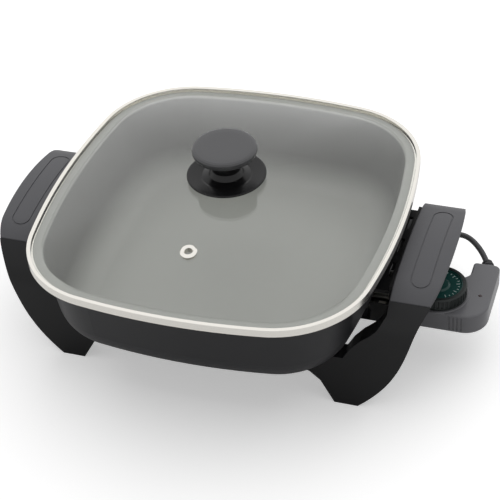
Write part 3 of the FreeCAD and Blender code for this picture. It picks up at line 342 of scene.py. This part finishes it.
POINTS_PER_TURN = 16
coil_route = [coil_point(i / POINTS_PER_TURN) for i in range(COIL_TURNS * POINTS_PER_TURN + 1)]
lead_end = Vector((PLUG_CORD_X, coil_route[-1].y, coil_route[-1].z))
route = free_route + coil_route + [coil_route[-1].lerp(lead_end, 0.5), lead_end]

# %% Cord curve

curve = bpy.data.curves.new("cord_line", "CURVE")
curve.dimensions = "3D"
spline = curve.splines.new("NURBS")
spline.points.add(len(route) - 1)
for point, place in zip(spline.points, route):
    point.co = (*place, 1.0)
spline.order_u = 3
spline.use_endpoint_u = True
spline.resolution_u = 8
curve.bevel_depth = CORD_R
curve.bevel_resolution = 4
curve.use_fill_caps = True
cord = bpy.data.objects.new("cord_line", curve)
bpy.context.collection.objects.link(cord)
cord.data.materials.append(MATERIALS["cord_rubber"])
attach(cord, "control")
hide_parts("cord", "cord_coil")

# %% [markdown]
# The stage: a pale floor, a pale sky and a large soft light overhead. The camera sees the floor a little
# lighter than it is lit. Direct views, reflections and what shows through glass meet a white sky, and other
# light meets a dim one. The lamp hides from reflections, so that no edge of it shows in the lid.

# %% Floor and light

FLOOR_LIFT = 0.4
FLOOR_REACH = 6.0
floor_signs = [(-1, -1), (1, -1), (1, 1), (-1, 1)]
floor_corners = [(x * FLOOR_REACH, y * FLOOR_REACH, 0) for x, y in floor_signs]
floor_mesh = bpy.data.meshes.new("floor")
floor_mesh.from_pydata(floor_corners, [], [(0, 1, 2, 3)])
floor = bpy.data.objects.new("floor", floor_mesh)
bpy.context.collection.objects.link(floor)
floor_material, floor_tree, floor_shader = node_material("pale_floor")
floor_shader.inputs["Base Color"].default_value = srgb("f6f6f6")
floor_shader.inputs["Roughness"].default_value = 1.0
floor_shader.inputs["Specular IOR Level"].default_value = 0.0
floor_shader.inputs["Emission Color"].default_value = srgb("ffffff")
floor_path = floor_tree.nodes.new("ShaderNodeLightPath")
floor_lift = floor_tree.nodes.new("ShaderNodeMath")
floor_lift.operation = "MULTIPLY"
floor_lift.inputs[1].default_value = FLOOR_LIFT
floor_tree.links.new(floor_path.outputs["Is Camera Ray"], floor_lift.inputs[0])
floor_tree.links.new(floor_lift.outputs["Value"], floor_shader.inputs["Emission Strength"])
floor.data.materials.append(floor_material)


LAMP_SIZE = 3.2
LAMP_POWER = 34.0
LAMP_PLACE = Vector((0.0, 0.5, 1.6))
LAMP_AIM = Vector((0.0, 0.0, 0.1))
light = bpy.data.lights.new("overhead", "AREA")
light.shape = "SQUARE"
light.size = LAMP_SIZE
light.energy = LAMP_POWER
lamp = bpy.data.objects.new("overhead", light)
lamp.location = LAMP_PLACE
lamp.rotation_euler = (LAMP_PLACE - LAMP_AIM).to_track_quat("Z", "Y").to_euler()
lamp.visible_glossy = False
lamp.visible_transmission = False
bpy.context.collection.objects.link(lamp)

SKY_STRENGTH = 0.3
SKY_SHOWN = 1.0
world = bpy.data.worlds.new("pale_sky")
world.use_nodes = True
sky = world.node_tree.nodes["Background"]
sky.inputs["Color"].default_value = srgb("ffffff")
sky_path = world.node_tree.nodes.new("ShaderNodeLightPath")
shown = sky_path.outputs["Is Camera Ray"]
for kind in ("Is Glossy Ray", "Is Transmission Ray"):
    either = world.node_tree.nodes.new("ShaderNodeMath")
    either.operation = "MAXIMUM"
    world.node_tree.links.new(shown, either.inputs[0])
    world.node_tree.links.new(sky_path.outputs[kind], either.inputs[1])
    shown = either.outputs["Value"]
strength = world.node_tree.nodes.new("ShaderNodeMapRange")
strength.inputs["To Min"].default_value = SKY_STRENGTH
strength.inputs["To Max"].default_value = SKY_SHOWN
world.node_tree.links.new(shown, strength.inputs["Value"])
world.node_tree.links.new(strength.outputs["Result"], sky.inputs["Strength"])
bpy.context.scene.world = world

# %% [markdown]
# The camera was fitted to the lid's outline and the knob's circles in the photograph. It is given by its
# bearing, height angle and roll about the middle of the lid's flange, and by where that middle falls.

# %% Camera

CAMERA_BEARING = math.radians(20.185)
CAMERA_HEIGHT = math.radians(39.183)
CAMERA_ROLL = math.radians(-4.101)
CAMERA_FAR = 1.33228
CAMERA_SHIFT_RIGHT = -0.01788
CAMERA_SHIFT_UP = 0.04132
FOCAL_PIXELS = 1575.97
IMAGE_PIXELS = 500
SENSOR_MM = 36.0

back = Vector((math.sin(CAMERA_BEARING) * math.cos(CAMERA_HEIGHT),
               -math.cos(CAMERA_BEARING) * math.cos(CAMERA_HEIGHT), math.sin(CAMERA_HEIGHT)))
level = Vector((math.cos(CAMERA_BEARING), math.sin(CAMERA_BEARING), 0.0))
upright = back.cross(level)
right = level * math.cos(CAMERA_ROLL) + upright * math.sin(CAMERA_ROLL)
up = upright * math.cos(CAMERA_ROLL) - level * math.sin(CAMERA_ROLL)
eye = back * CAMERA_FAR - right * CAMERA_SHIFT_RIGHT - up * CAMERA_SHIFT_UP + Vector((PAN_X, 0.0, FLANGE_Z))
lens = bpy.data.cameras.new("photo_camera")
lens.sensor_width = SENSOR_MM
lens.lens = FOCAL_PIXELS / IMAGE_PIXELS * SENSOR_MM
camera = bpy.data.objects.new("photo_camera", lens)
camera.matrix_world = Matrix.Translation(eye) @ Matrix((right, up, back)).transposed().to_4x4()
bpy.context.collection.objects.link(camera)
bpy.context.scene.camera = camera
bpy.context.scene.view_settings.view_transform = "Standard"
print("camera at", [round(v, 3) for v in eye])
